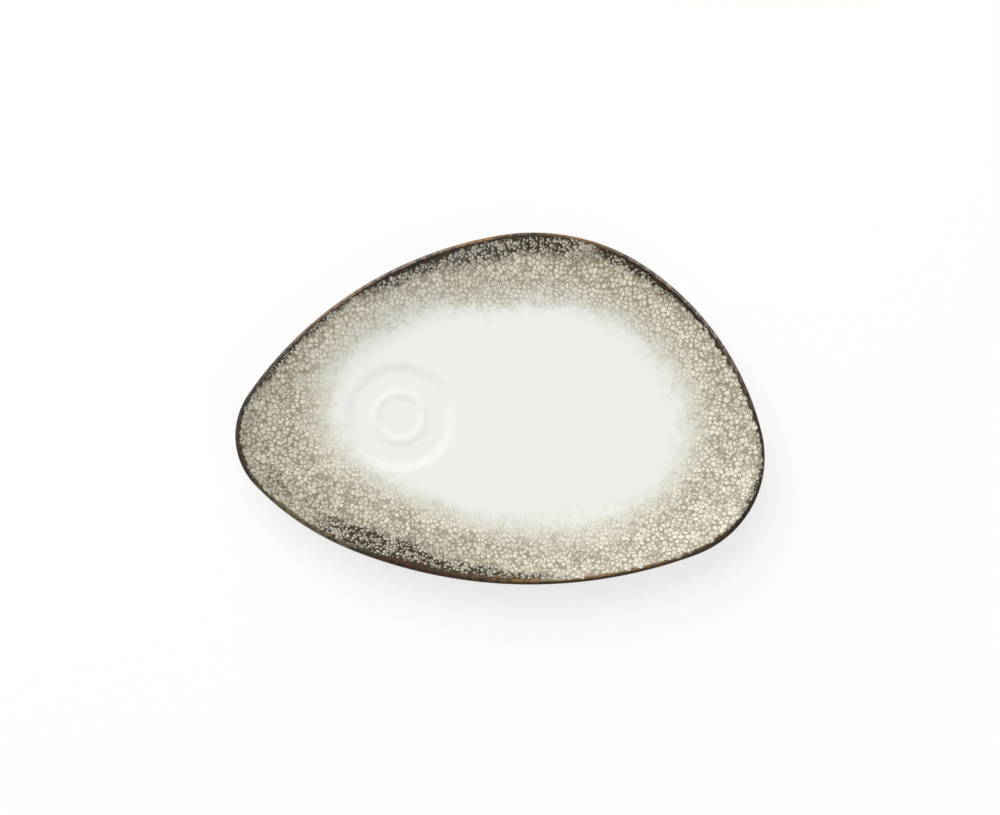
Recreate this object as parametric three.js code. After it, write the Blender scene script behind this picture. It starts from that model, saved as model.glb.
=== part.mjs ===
// A pebble-shaped serving plate: one fired porcelain body with a cup well and a foot ring,
// and the coats of glaze that are fused onto it.
// Millimetres, +X along the plate, +Y towards its back, +Z up.
// The origin is on the table, under the middle of the plate's length and width.
import * as THREE from 'three';
import { mergeGeometries, mergeVertices } from 'three/addons/utils/BufferGeometryUtils.js';

// The lip seen from above, walked anticlockwise: three corner arcs joined by wider side arcs.
const RIGHT_X = 103;
const RIGHT_Y = -33.5;
const RIGHT_RADIUS = 71.5;
const BACK_X = 22.5;
const BACK_Y = -11.5;
const BACK_RADIUS = 131.5;
const LEFT_X = -125;
const LEFT_Y = -19.5;
const LEFT_RADIUS = 50;
const LEFT_TURN = THREE.MathUtils.degToRad(77);
const RIGHT_SIDE_RADIUS = 187.5;
const BACK_SIDE_RADIUS = 249;
const LEFT_SIDE_RADIUS = 187.5;
const FRONT_SIDE_RADIUS = 310;

// The wall: a flat floor that sweeps up to a round lip.
const PLATE_HEIGHT = 26;
const FLOOR_X = 0;
const FLOOR_Y = 0;
const FLOOR_LENGTH = 226;
const FLOOR_WIDTH = 142;
const FLOOR_ROUNDING = 25;
const FLOOR_THICKNESS = 5;
const LIP_THICKNESS = 3.4;
const LIP_LEAN = THREE.MathUtils.degToRad(30);

// The foot ring under the floor, measured along the middle of the ring.
const FOOT_LENGTH = 198;
const FOOT_WIDTH = 116;
const FOOT_HEIGHT = 3;
const FOOT_THICKNESS = 5;
const FOOT_EDGE = 0.8;
const FOOT_FILLET = 1;
const FOOT_GLAZE_LINE = 1.4;

// The cup well in the floor, with a raised ring that keeps the cup's foot in place.
const WELL_X = -67;
const WELL_Y = -4.5;
const WELL_RADIUS = 38.4;
const WELL_FLOOR_RADIUS = 30.8;
const WELL_DEPTH = 1.4;
const BEAD_RADIUS = 16.2;
const BEAD_WIDTH = 10;
const BEAD_HEIGHT = 0.7;

// Fired glaze.
const WHITE_GLAZE = 0.25;
const RIM_GLAZE = 0.35;
const UNDER_GLAZE = 0.35;

// How finely the curves are divided.
const COLUMN_TURN = THREE.MathUtils.degToRad(6);
const WELL_COLUMNS = 40;
const RIM_STEPS = 5;
const LIP_STEPS = 6;
const ROUND_STEPS = 2;
const WELL_WALL_STEPS = 4;
const BEAD_STEPS = 6;

const { lerp, smoothstep, euclideanModulo } = THREE.MathUtils;
const UP = Math.PI / 2;

function steps(count) {
  return Array.from({ length: count + 1 }, (_, step) => step / count);
}

// Lip outline

function arcAbout(x, y, radius) {
  return { centre: new THREE.Vector2(x, y), radius };
}

// The wider arc that touches two arcs from outside, on the left of the walk between them.
function sideArc(from, to, radius) {
  const along = to.centre.clone().sub(from.centre);
  const span = along.length();
  const fromReach = radius - from.radius;
  const toReach = radius - to.radius;
  const forward = (fromReach ** 2 - toReach ** 2 + span ** 2) / (2 * span);
  const left = Math.sqrt(fromReach ** 2 - forward ** 2);
  along.normalize();
  return arcAbout(
    from.centre.x + forward * along.x - left * along.y,
    from.centre.y + forward * along.y + left * along.x,
    radius,
  );
}

// The wider arc that leaves an arc where the lip faces a given way.
function arcLeaving(from, facing, radius) {
  const reach = radius - from.radius;
  return arcAbout(
    from.centre.x - reach * Math.cos(facing),
    from.centre.y - reach * Math.sin(facing),
    radius,
  );
}

// The way the lip faces where two arcs touch.
function meeting(one, other) {
  const [tight, wide] = one.radius < other.radius ? [one, other] : [other, one];
  return tight.centre.clone().sub(wide.centre).angle();
}

// Points along an arc with their outward normals, without the arc's last point.
function arcColumns({ centre, radius }, start, end) {
  const turn = euclideanModulo(end - start, 2 * Math.PI);
  const curve = new THREE.EllipseCurve(centre.x, centre.y, radius, radius, start, start + turn);
  const count = Math.max(1, Math.round(turn / COLUMN_TURN));
  return steps(count).slice(0, -1).map((share) => {
    const point = curve.getPoint(share);
    const normal = point.clone().sub(centre).normalize();
    return { point, normal };
  });
}

function lipOutline(arcs) {
  const meetings = arcs.map((arc, index) => meeting(arc, arcs[(index + 1) % arcs.length]));
  const columns = arcs.flatMap((arc, index) => (
    arcColumns(arc, meetings.at(index - 1), meetings[index])));
  const box = new THREE.Box2().setFromPoints(columns.map(({ point }) => point));
  const middle = box.getCenter(new THREE.Vector2());
  columns.forEach(({ point }) => point.sub(middle));
  return { columns, size: box.getSize(new THREE.Vector2()) };
}

const right = arcAbout(RIGHT_X, RIGHT_Y, RIGHT_RADIUS);
const back = arcAbout(BACK_X, BACK_Y, BACK_RADIUS);
const left = arcAbout(LEFT_X, LEFT_Y, LEFT_RADIUS);
const rightSide = sideArc(right, back, RIGHT_SIDE_RADIUS);
const backSide = sideArc(back, left, BACK_SIDE_RADIUS);
const leftSide = arcLeaving(left, meeting(backSide, left) + LEFT_TURN, LEFT_SIDE_RADIUS);
const frontSide = sideArc(leftSide, right, FRONT_SIDE_RADIUS);
const outline = lipOutline([right, rightSide, back, backSide, left, leftSide, frontSide]);

// A plan is the lip's outline shrunk to a smaller length and width. Part of that size can be a
// rounding, a border of even width that makes the plan rounder than the lip.

function planOf(x, y, length, width, rounding) {
  const scale = new THREE.Vector2(length, width).subScalar(2 * rounding).divide(outline.size);
  return { middle: new THREE.Vector2(x, y), scale, rounding };
}

const LIP_PLAN = planOf(0, 0, outline.size.x, outline.size.y, 0);
const FLOOR_PLAN = planOf(FLOOR_X, FLOOR_Y, FLOOR_LENGTH, FLOOR_WIDTH, FLOOR_ROUNDING);
const FOOT_PLAN = planOf(FLOOR_X, FLOOR_Y, FOOT_LENGTH, FOOT_WIDTH, FLOOR_ROUNDING);

function mixedPlan(from, to, share) {
  return {
    middle: from.middle.clone().lerp(to.middle, share),
    scale: from.scale.clone().lerp(to.scale, share),
    rounding: lerp(from.rounding, to.rounding, share),
  };
}

// Section through the wall. A station is one ring of the surface: the plan it follows, how far
// it stands out from that plan, its height, and the way the surface faces in the section
// (0 faces outwards, a quarter turn faces up).

// A station moved along its own facing.
function moved(station, distance) {
  return {
    ...station,
    offset: station.offset + distance * Math.cos(station.facing),
    height: station.height + distance * Math.sin(station.facing),
  };
}

const floorTop = FOOT_HEIGHT + FLOOR_THICKNESS;
const topGlaze = WHITE_GLAZE + RIM_GLAZE;
const lipRadius = LIP_THICKNESS / 2;

// The lip's glaze thins from the rim's coat to the underside's coat.
function lipGlaze(turn) {
  return lerp(topGlaze, UNDER_GLAZE, turn);
}

// The lip's round section turns half way round, from the rim's top to its underside.
function lipFacing(turn) {
  return UP + LIP_LEAN - turn * Math.PI;
}

const turnFacingOut = (UP + LIP_LEAN) / Math.PI;
const turnFacingUp = LIP_LEAN / Math.PI;
const lipCentreOffset = -lipRadius - lipGlaze(turnFacingOut);
const lipCentreHeight = PLATE_HEIGHT - lipRadius - lipGlaze(turnFacingUp);

function lipStation(turn) {
  const centre = {
    plan: LIP_PLAN,
    offset: lipCentreOffset,
    height: lipCentreHeight,
    facing: lipFacing(turn),
  };
  return moved(centre, lipRadius);
}

// The rim's top rises as a parabola from the floor's edge to the lip.
function rimStation(run) {
  const lip = lipStation(0);
  return {
    plan: mixedPlan(FLOOR_PLAN, LIP_PLAN, run),
    offset: lerp(0, lip.offset, run),
    height: lerp(floorTop, lip.height, run ** 2),
    facing: lerp(UP, lip.facing, run),
  };
}

function underStation(run) {
  const thickness = lerp(FLOOR_THICKNESS, LIP_THICKNESS, run);
  const top = rimStation(run);
  return { ...moved(top, -thickness), facing: top.facing - Math.PI };
}

// A round of the foot ring about a centre, from one angle to another. A hollow round faces its
// own centre.
function footRound(offset, height, radius, from, to, hollow) {
  return steps(ROUND_STEPS).map((share) => {
    const angle = lerp(from, to, share);
    return {
      plan: FOOT_PLAN,
      offset: offset + radius * Math.cos(angle),
      height: height + radius * Math.sin(angle),
      facing: hollow ? angle - Math.PI : angle,
    };
  });
}

const footHalf = FOOT_THICKNESS / 2;
const filletHeight = FOOT_HEIGHT - FOOT_FILLET;
const footOuterLine = { plan: FOOT_PLAN, offset: footHalf, height: FOOT_GLAZE_LINE, facing: 0 };
const footInnerLine = { ...footOuterLine, offset: -footHalf, facing: -Math.PI };

const rimStations = steps(RIM_STEPS).map(rimStation);
const lipStations = steps(LIP_STEPS).map(lipStation);
const underStations = [
  ...steps(RIM_STEPS).reverse().map(underStation),
  ...footRound(footHalf + FOOT_FILLET, filletHeight, FOOT_FILLET, UP, Math.PI, true),
  footOuterLine,
];
const groundStations = [
  footOuterLine,
  ...footRound(footHalf - FOOT_EDGE, FOOT_EDGE, FOOT_EDGE, 0, -UP, false),
  ...footRound(FOOT_EDGE - footHalf, FOOT_EDGE, FOOT_EDGE, -UP, -Math.PI, false),
  footInnerLine,
];
const baseStations = [
  footInnerLine,
  ...footRound(-footHalf - FOOT_FILLET, filletHeight, FOOT_FILLET, 0, UP, true),
];

// Surfaces

function ring(station, coat = 0) {
  const { plan, offset, height } = moved(station, coat);
  const out = plan.rounding + offset;
  return outline.columns.map(({ point, normal }) => new THREE.Vector3(
    plan.middle.x + point.x * plan.scale.x + normal.x * out,
    plan.middle.y + point.y * plan.scale.y + normal.y * out,
    height,
  ));
}

function wellRing(radius, height) {
  return steps(WELL_COLUMNS).slice(0, -1).map((share) => {
    const angle = share * 2 * Math.PI;
    return new THREE.Vector3(
      WELL_X + radius * Math.cos(angle),
      WELL_Y + radius * Math.sin(angle),
      height,
    );
  });
}

// A skin through closed rings that faces up where the rings grow.
function skin(rings) {
  const corners = [];
  rings.slice(1).forEach((outer, index) => {
    const inner = rings[index];
    inner.forEach((point, column) => {
      const next = (column + 1) % inner.length;
      corners.push(point, outer[column], outer[next]);
      corners.push(point, outer[next], inner[next]);
    });
  });
  return new THREE.BufferGeometry().setFromPoints(corners);
}

// A flat surface facing up inside a ring, with round holes where asked.
function flat(edge, holes = []) {
  const plan = (points) => points.map(({ x, y }) => new THREE.Vector2(x, y));
  const shape = new THREE.Shape(plan(edge));
  shape.holes = holes.map((hole) => new THREE.Path(plan(hole)));
  const surface = new THREE.ShapeGeometry(shape).toNonIndexed();
  surface.deleteAttribute('normal');
  surface.deleteAttribute('uv');
  return surface.translate(0, 0, edge[0].z);
}

function flipped(surface) {
  const turned = surface.clone();
  const { array } = turned.attributes.position;
  for (let start = 0; start < array.length; start += 9) {
    const second = array.slice(start + 3, start + 6);
    array.copyWithin(start + 3, start + 6, start + 9);
    array.set(second, start + 6);
  }
  return turned;
}

// The well from its middle out: the seat's edge, the raised ring, the flat round it, the wall.
function wellRings(floorHeight) {
  const bead = steps(BEAD_STEPS).map((share) => wellRing(
    BEAD_RADIUS + BEAD_WIDTH * (share - 0.5),
    floorHeight - WELL_DEPTH + BEAD_HEIGHT * (1 - Math.cos(2 * Math.PI * share)) / 2,
  ));
  const wall = steps(WELL_WALL_STEPS).map((share) => wellRing(
    lerp(WELL_FLOOR_RADIUS, WELL_RADIUS, share),
    floorHeight - WELL_DEPTH + WELL_DEPTH * smoothstep(share, 0, 1),
  ));
  return [...bead, ...wall];
}

function upperSurface(coat) {
  const well = wellRings(floorTop + coat);
  const rim = rimStations.map((station) => ring(station, coat));
  return [flat(well[0]), skin(well), flat(rim[0], [well.at(-1)]), skin(rim)];
}

function rimSurface(extraAt) {
  return skin(rimStations.map((station, index) => (
    ring(station, WHITE_GLAZE + extraAt(index / RIM_STEPS)))));
}

function lipSurface(coatAt) {
  return skin(lipStations.map((station, index) => ring(station, coatAt(index / LIP_STEPS))));
}

function underSurface(coat) {
  return skin(underStations.map((station) => ring(station, coat)));
}

function baseSurface(coat) {
  const rings = baseStations.map((station) => ring(station, coat));
  return [skin(rings), flipped(flat(rings.at(-1)))];
}

// The end of a coat at a station, from its outer face down to its inner face.
function coatEnd(station, outer, inner) {
  return skin([ring(station, outer), ring(station, inner)]);
}

const bareTop = upperSurface(0);
const bareLip = lipSurface(() => 0);
const bareUnder = underSurface(0);
const bareBase = baseSurface(0);
const bareGround = skin(groundStations.map((station) => ring(station)));
const whiteUnderRim = rimSurface(() => 0);
const whiteEnd = coatEnd(rimStations.at(-1), WHITE_GLAZE, 0);
const rimEnd = coatEnd(rimStations.at(-1), topGlaze, WHITE_GLAZE);
const lipEnd = coatEnd(lipStations.at(-1), UNDER_GLAZE, 0);
const underEnd = coatEnd(footOuterLine, UNDER_GLAZE, 0);
const baseEnd = coatEnd(footInnerLine, UNDER_GLAZE, 0);

// Plate

const plate = new THREE.Group();
plate.name = 'serving_plate';

function addPiece(name, surfaces, color, roughness) {
  const geometry = mergeVertices(mergeGeometries(surfaces), 1e-4);
  geometry.computeVertexNormals();
  const material = new THREE.MeshStandardMaterial({ color, roughness, metalness: 0 });
  const mesh = new THREE.Mesh(geometry, material);
  mesh.name = name;
  plate.add(mesh);
}

addPiece(
  'porcelain_body',
  [...bareTop, bareLip, bareUnder, bareGround, ...bareBase],
  '#e9e5da',
  0.8,
);
addPiece(
  'white_glaze',
  [...upperSurface(WHITE_GLAZE), ...bareTop.map(flipped), whiteEnd],
  '#ededea',
  0.12,
);
addPiece(
  'reactive_rim_glaze',
  [rimSurface((run) => RIM_GLAZE * run), flipped(whiteUnderRim), rimEnd],
  '#aca391',
  0.2,
);
addPiece(
  'lip_glaze',
  [lipSurface(lipGlaze), flipped(bareLip), flipped(whiteEnd), flipped(rimEnd), lipEnd],
  '#3b332c',
  0.25,
);
addPiece(
  'underside_glaze',
  [underSurface(UNDER_GLAZE), flipped(bareUnder), flipped(lipEnd), underEnd],
  '#e8e6de',
  0.15,
);
addPiece(
  'base_glaze',
  [...baseSurface(UNDER_GLAZE), ...bareBase.map(flipped), flipped(baseEnd)],
  '#e8e6de',
  0.15,
);

export default plate;
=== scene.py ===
"""The looks of a pebble-shaped serving plate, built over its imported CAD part.

Lengths are in metres in the CAD part's frame: +X along the plate, +Y to its back, +Z up.
"""

import logging
import math
from dataclasses import dataclass, field, replace
from enum import Enum
from typing import ClassVar, NamedTuple

import bmesh
import bpy
import numpy as np
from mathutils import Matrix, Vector
from mathutils.geometry import delaunay_2d_cdt


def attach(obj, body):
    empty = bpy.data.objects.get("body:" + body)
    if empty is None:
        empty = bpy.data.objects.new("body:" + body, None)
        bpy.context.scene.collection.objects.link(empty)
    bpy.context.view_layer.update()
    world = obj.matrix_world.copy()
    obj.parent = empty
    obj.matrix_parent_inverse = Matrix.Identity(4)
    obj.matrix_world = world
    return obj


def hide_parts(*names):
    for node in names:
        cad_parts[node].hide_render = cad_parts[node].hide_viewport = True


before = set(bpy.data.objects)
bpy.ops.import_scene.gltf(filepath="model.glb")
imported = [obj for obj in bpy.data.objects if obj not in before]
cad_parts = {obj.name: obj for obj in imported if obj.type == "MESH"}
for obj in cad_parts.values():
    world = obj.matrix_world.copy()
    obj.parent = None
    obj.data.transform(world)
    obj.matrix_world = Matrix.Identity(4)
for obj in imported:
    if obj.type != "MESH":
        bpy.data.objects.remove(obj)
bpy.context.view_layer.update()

MM = 0.001
UP = math.pi / 2
CREASE = math.radians(50)
LOG = logging.getLogger("serving_plate")

MATH = "ShaderNodeMath"
MIX = "ShaderNodeMix"
RAMP = "ShaderNodeMapRange"
NOISE = "ShaderNodeTexNoise"
CELLS = "ShaderNodeTexVoronoi"
SMOOTHLY = {"interpolation_type": "SMOOTHSTEP"}

Source = bpy.types.Node | bpy.types.NodeSocket


def linear(code: str) -> tuple[float, float, float, float]:
    """Turns an sRGB hex colour into linear light.

    Args:
        code: The colour as "#rrggbb".

    Returns:
        Red, green, blue and an alpha of 1.
    """
    parts = [int(code[i : i + 2], 16) / 255 for i in (1, 3, 5)]
    red, green, blue = (p / 12.92 if p <= 0.04045 else ((p + 0.055) / 1.055) ** 2.4 for p in parts)
    return (red, green, blue, 1.0)


def add_node(
    tree: bpy.types.NodeTree,
    kind: str,
    inputs: dict[str, object] | list[object] | None = None,
    **settings: object,
) -> bpy.types.Node:
    """Adds a node, sets its properties, and links or fills its inputs.

    Args:
        tree: The node tree that gets the node.
        kind: The node's type name.
        inputs: Values, sockets or nodes, by the inputs' names or in their order. A node stands
            for its first output in use.
        **settings: Properties of the node.

    Returns:
        The new node.
    """
    node = tree.nodes.new(kind)
    for name, value in settings.items():
        setattr(node, name, value)
    given = inputs.items() if isinstance(inputs, dict) else enumerate(inputs or [])
    for key, value in given:
        if isinstance(value, bpy.types.Node):
            value = next(socket for socket in value.outputs if socket.enabled)
        if isinstance(value, bpy.types.NodeSocket):
            tree.links.new(value, node.inputs[key])
        else:
            node.inputs[key].default_value = value
    return node


def add_object(name: str, data: bpy.types.ID) -> bpy.types.Object:
    """Puts a new object into the scene.

    Args:
        name: The object's name.
        data: Its mesh, curve, lamp or camera.

    Returns:
        The object, at the origin.
    """
    made = bpy.data.objects.new(name, data)
    bpy.context.collection.objects.link(made)
    return made


def smooth(low: float, high: float, value: np.ndarray) -> np.ndarray:
    """Rises smoothly from 0 at low to 1 at high."""
    share = np.clip((value - low) / (high - low), 0, 1)
    return share * share * (3 - 2 * share)


# The plate's shape


@dataclass(frozen=True)
class Arc:
    """A circular arc of the lip seen from above."""

    x: float
    y: float
    radius: float

    @property
    def centre(self) -> np.ndarray:
        """The arc's centre."""
        return np.array([self.x, self.y])

    def meeting(self, other: "Arc") -> float:
        """Gives the way the lip faces where this arc touches another one.

        Args:
            other: The arc that touches this one.

        Returns:
            The angle from +X.
        """
        tight, wide = (self, other) if self.radius < other.radius else (other, self)
        across = tight.centre - wide.centre
        return math.atan2(across[1], across[0])

    def side_to(self, other: "Arc", radius: float) -> "Arc":
        """Finds the wider arc that touches this arc and the next one from outside.

        Args:
            other: The next arc of the anticlockwise walk.
            radius: The wider arc's radius.

        Returns:
            The wider arc.
        """
        along = other.centre - self.centre
        span = float(np.hypot(*along))
        reach, far_reach = radius - self.radius, radius - other.radius
        forward = (reach**2 - far_reach**2 + span**2) / (2 * span)
        left = math.sqrt(reach**2 - forward**2)
        ahead = along / span
        spot = self.centre + forward * ahead + left * np.array([-ahead[1], ahead[0]])
        return Arc(float(spot[0]), float(spot[1]), radius)

    def leaving(self, facing: float, radius: float) -> "Arc":
        """Finds the wider arc that leaves this one where the lip faces a given way."""
        reach = radius - self.radius
        return Arc(self.x - reach * math.cos(facing), self.y - reach * math.sin(facing), radius)


@dataclass(frozen=True)
class Plan:
    """The lip's outline shrunk about a middle, with a border that makes it rounder."""

    middle: tuple[float, float]
    scale: tuple[float, float]
    rounding: float

    def towards(self, other: "Plan", share: float) -> "Plan":
        """Mixes this plan with another one.

        Args:
            other: The other plan.
            share: Its share of the mix.

        Returns:
            The mixed plan.
        """
        mixed = [
            tuple((1 - share) * np.array(one) + share * np.array(two))
            for one, two in ((self.middle, other.middle), (self.scale, other.scale))
        ]
        return Plan(mixed[0], mixed[1], (1 - share) * self.rounding + share * other.rounding)


@dataclass(frozen=True)
class Station:
    """One ring of a surface: its plan, its place in the section, and the way it faces there."""

    plan: Plan
    offset: float
    height: float
    facing: float

    def moved(self, distance: float) -> "Station":
        """Moves the station along its own facing."""
        offset = self.offset + distance * math.cos(self.facing)
        return replace(self, offset=offset, height=self.height + distance * math.sin(self.facing))


@dataclass
class PlateShape:
    """The plate's sizes, and the rings and coordinates that follow from them."""

    right: Arc = Arc(103 * MM, -33.5 * MM, 71.5 * MM)
    back: Arc = Arc(22.5 * MM, -11.5 * MM, 131.5 * MM)
    left: Arc = Arc(-125 * MM, -19.5 * MM, 50 * MM)
    left_turn: float = math.radians(77)
    right_side_radius: float = 187.5 * MM
    back_side_radius: float = 249 * MM
    left_side_radius: float = 187.5 * MM
    front_side_radius: float = 310 * MM
    lip_margin: float = 0.18 * MM

    height: float = 26 * MM
    floor_size: tuple[float, float] = (226 * MM, 142 * MM)
    floor_rounding: float = 25 * MM
    floor_thickness: float = 5 * MM
    lip_thickness: float = 3.4 * MM
    lip_lean: float = math.radians(30)
    foot_size: tuple[float, float] = (198 * MM, 116 * MM)
    foot_height: float = 3 * MM
    foot_thickness: float = 5 * MM
    foot_edge: float = 0.8 * MM
    foot_fillet: float = 1 * MM
    foot_glaze_line: float = 1.4 * MM
    white_glaze: float = 0.25 * MM
    rim_glaze: float = 0.35 * MM
    under_glaze: float = 0.35 * MM

    column_turn: float = math.radians(1)
    rim_steps: int = 48
    lip_steps: int = 18
    under_steps: int = 40
    foot_steps: int = 6

    points: np.ndarray = field(init=False)
    normals: np.ndarray = field(init=False)
    size: np.ndarray = field(init=False)

    def __post_init__(self) -> None:
        """Walks the lip's arcs and centres them on the frame."""
        right_side = self.right.side_to(self.back, self.right_side_radius)
        back_side = self.back.side_to(self.left, self.back_side_radius)
        leave = back_side.meeting(self.left) + self.left_turn
        left_side = self.left.leaving(leave, self.left_side_radius)
        front_side = left_side.side_to(self.right, self.front_side_radius)
        arcs = [self.right, right_side, self.back, back_side, self.left, left_side, front_side]
        meetings = [arc.meeting(arcs[(i + 1) % len(arcs)]) for i, arc in enumerate(arcs)]
        points, normals = [], []
        for index, arc in enumerate(arcs):
            turn = (meetings[index] - meetings[index - 1]) % (2 * math.pi)
            count = max(1, round(turn / self.column_turn))
            angle = meetings[index - 1] + turn * np.arange(count) / count
            way = np.stack([np.cos(angle), np.sin(angle)], axis=1)
            normals.append(way)
            points.append(arc.centre + arc.radius * way)
        self.normals = np.concatenate(normals)
        self.points = np.concatenate(points)
        low, high = self.points.min(axis=0), self.points.max(axis=0)
        self.points -= (low + high) / 2
        self.size = high - low

    def plan(self, size: tuple[float, float] | None = None, rounding: float = 0.0) -> Plan:
        """Shrinks the lip's outline to a length and width about the plate's middle.

        Args:
            size: The plan's length and width, or nothing for the lip itself.
            rounding: The part of the size that is a border of even width.

        Returns:
            The plan.
        """
        scale = np.ones(2) if size is None else (np.array(size) - 2 * rounding) / self.size
        return Plan((0.0, 0.0), (float(scale[0]), float(scale[1])), rounding)

    @property
    def floor_plan(self) -> Plan:
        """The plan of the flat floor."""
        return self.plan(self.floor_size, self.floor_rounding)

    @property
    def foot_plan(self) -> Plan:
        """The plan of the foot ring's middle."""
        return self.plan(self.foot_size, self.floor_rounding)

    @property
    def floor_top(self) -> float:
        """The height of the body's floor."""
        return self.foot_height + self.floor_thickness

    @property
    def lip_radius(self) -> float:
        """The radius of the body's lip in the section."""
        return self.lip_thickness / 2

    def lip_coat(self, turn: float) -> float:
        """Gives the lip glaze's thickness, from the rim's side at 0 to the underside at 1."""
        return (1 - turn) * (self.white_glaze + self.rim_glaze) + turn * self.under_glaze

    def lip_centre(self) -> Station:
        """Gives the middle of the lip's round section.

        Returns:
            The station, far enough inside the plate's size for the glaze.
        """
        out = self.lip_coat((UP + self.lip_lean) / math.pi)
        top = self.lip_coat(self.lip_lean / math.pi)
        offset = -self.lip_radius - out - self.lip_margin
        return Station(self.plan(), offset, self.height - self.lip_radius - top, UP)

    def lip(self, turn: float) -> Station:
        """Gives a station of the body's lip, from the rim's side at 0 to the underside at 1."""
        facing = UP + self.lip_lean - turn * math.pi
        return replace(self.lip_centre(), facing=facing).moved(self.lip_radius)

    def rim(self, run: float) -> Station:
        """Gives a station of the body's rim.

        Args:
            run: How far from the floor's edge at 0 to the lip at 1.

        Returns:
            The station.
        """
        lip = self.lip(0)
        return Station(
            self.floor_plan.towards(lip.plan, run),
            lip.offset * run,
            self.floor_top + (lip.height - self.floor_top) * run**2,
            UP + (lip.facing - UP) * run,
        )

    def under(self, run: float) -> Station:
        """Gives a station of the rim's underside.

        Args:
            run: How far from the floor's edge at 0 to the lip at 1.

        Returns:
            The station across the wall from the rim's own.
        """
        thickness = (1 - run) * self.floor_thickness + run * self.lip_thickness
        across = self.rim(run).moved(-thickness)
        return replace(across, facing=across.facing - math.pi)

    def foot_round(
        self, centre: tuple[float, float], radius: float, turn: tuple[float, float], hollow: bool
    ) -> list[Station]:
        """Gives the stations of a round of the foot ring.

        Args:
            centre: The round's centre in the section, as offset and height.
            radius: Its radius.
            turn: Its first and last angle.
            hollow: Whether it is a fillet, which faces its own centre.

        Returns:
            The stations in order.
        """
        return [
            Station(
                self.foot_plan,
                centre[0] + radius * math.cos(angle),
                centre[1] + radius * math.sin(angle),
                angle - math.pi if hollow else angle,
            )
            for angle in np.linspace(*turn, self.foot_steps + 1)
        ]

    def foot_line(self, side: int) -> Station:
        """Gives the line on the foot ring's wall where the glaze stops, outside 1 or inside -1."""
        facing = 0.0 if side > 0 else -math.pi
        return Station(self.foot_plan, side * self.foot_thickness / 2, self.foot_glaze_line, facing)

    def rim_stations(self) -> list[Station]:
        """Gives the body's rim from the floor's edge to the lip."""
        return [self.rim(run) for run in np.linspace(0, 1, self.rim_steps + 1)]

    def lip_stations(self) -> list[Station]:
        """Gives the body's lip from the rim's side to the underside."""
        return [self.lip(turn) for turn in np.linspace(0, 1, self.lip_steps + 1)]

    def under_stations(self) -> list[Station]:
        """Gives the underside from the lip to the foot ring.

        Returns:
            The stations, down to the glaze line on the foot ring's outer wall.
        """
        half, fillet = self.foot_thickness / 2, self.foot_fillet
        corner = (half + fillet, self.foot_height - fillet)
        return [
            *[self.under(run) for run in np.linspace(1, 0, self.under_steps + 1)],
            *self.foot_round(corner, fillet, (UP, math.pi), True),
            self.foot_line(1),
        ]

    def ground_stations(self) -> list[Station]:
        """Gives the bare foot ring.

        Returns:
            The stations from the outer glaze line to the inner one.
        """
        half, edge = self.foot_thickness / 2, self.foot_edge
        return [
            self.foot_line(1),
            *self.foot_round((half - edge, edge), edge, (0, -UP), False),
            *self.foot_round((edge - half, edge), edge, (-UP, -math.pi), False),
            self.foot_line(-1),
        ]

    def base_stations(self) -> list[Station]:
        """Gives the wall and fillet inside the foot ring.

        Returns:
            The stations from the inner glaze line up to the flat base.
        """
        half, fillet = self.foot_thickness / 2, self.foot_fillet
        corner = (-half - fillet, self.foot_height - fillet)
        return [self.foot_line(-1), *self.foot_round(corner, fillet, (0, UP), True)]

    def ring(self, station: Station, coat: float = 0.0) -> np.ndarray:
        """Gives the points of a station's ring.

        Args:
            station: The station.
            coat: How far the ring stands off the body.

        Returns:
            The ring's points, one for each column of the outline.
        """
        place = station.moved(coat)
        flat = np.array(place.plan.middle) + self.points * np.array(place.plan.scale)
        flat = flat + self.normals * (place.plan.rounding + place.offset)
        return np.column_stack([flat, np.full(len(flat), place.height)])

    def rings(self, stations: list[Station], coat: float = 0.0) -> list[np.ndarray]:
        """Gives the rings of several stations."""
        return [self.ring(station, coat) for station in stations]


@dataclass(frozen=True)
class CupWell:
    """The round recess for a cup, with a raised ring that keeps the cup's foot in place."""

    x: float = -67 * MM
    y: float = -4.5 * MM
    radius: float = 38.4 * MM
    floor_radius: float = 30.8 * MM
    depth: float = 1.4 * MM
    bead_radius: float = 16.2 * MM
    bead_width: float = 10 * MM
    bead_height: float = 0.7 * MM
    columns: int = 256
    bead_steps: int = 32
    wall_steps: int = 24

    def circle(self, radius: float, height: float) -> np.ndarray:
        """Gives a circle about the well's middle.

        Args:
            radius: The circle's radius.
            height: Its height over the table.

        Returns:
            The circle's points.
        """
        angle = 2 * math.pi * np.arange(self.columns) / self.columns
        across, along = self.x + radius * np.cos(angle), self.y + radius * np.sin(angle)
        return np.column_stack([across, along, np.full(self.columns, height)])

    def rings(self, floor: float) -> list[np.ndarray]:
        """Gives the well's rings from its seat outwards.

        Args:
            floor: The height of the plate's floor.

        Returns:
            The rings of the seat, the raised ring, the flat round it and the wall.
        """
        low = floor - self.depth
        bead = [
            self.circle(
                self.bead_radius + self.bead_width * (share - 0.5),
                low + self.bead_height * (1 - math.cos(2 * math.pi * share)) / 2,
            )
            for share in np.linspace(0, 1, self.bead_steps + 1)
        ]
        wall = [
            self.circle(
                self.floor_radius + (self.radius - self.floor_radius) * share,
                low + self.depth * float(smooth(0, 1, np.array(share))),
            )
            for share in np.linspace(0, 1, self.wall_steps + 1)
        ]
        return bead + wall


# Meshes


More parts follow.
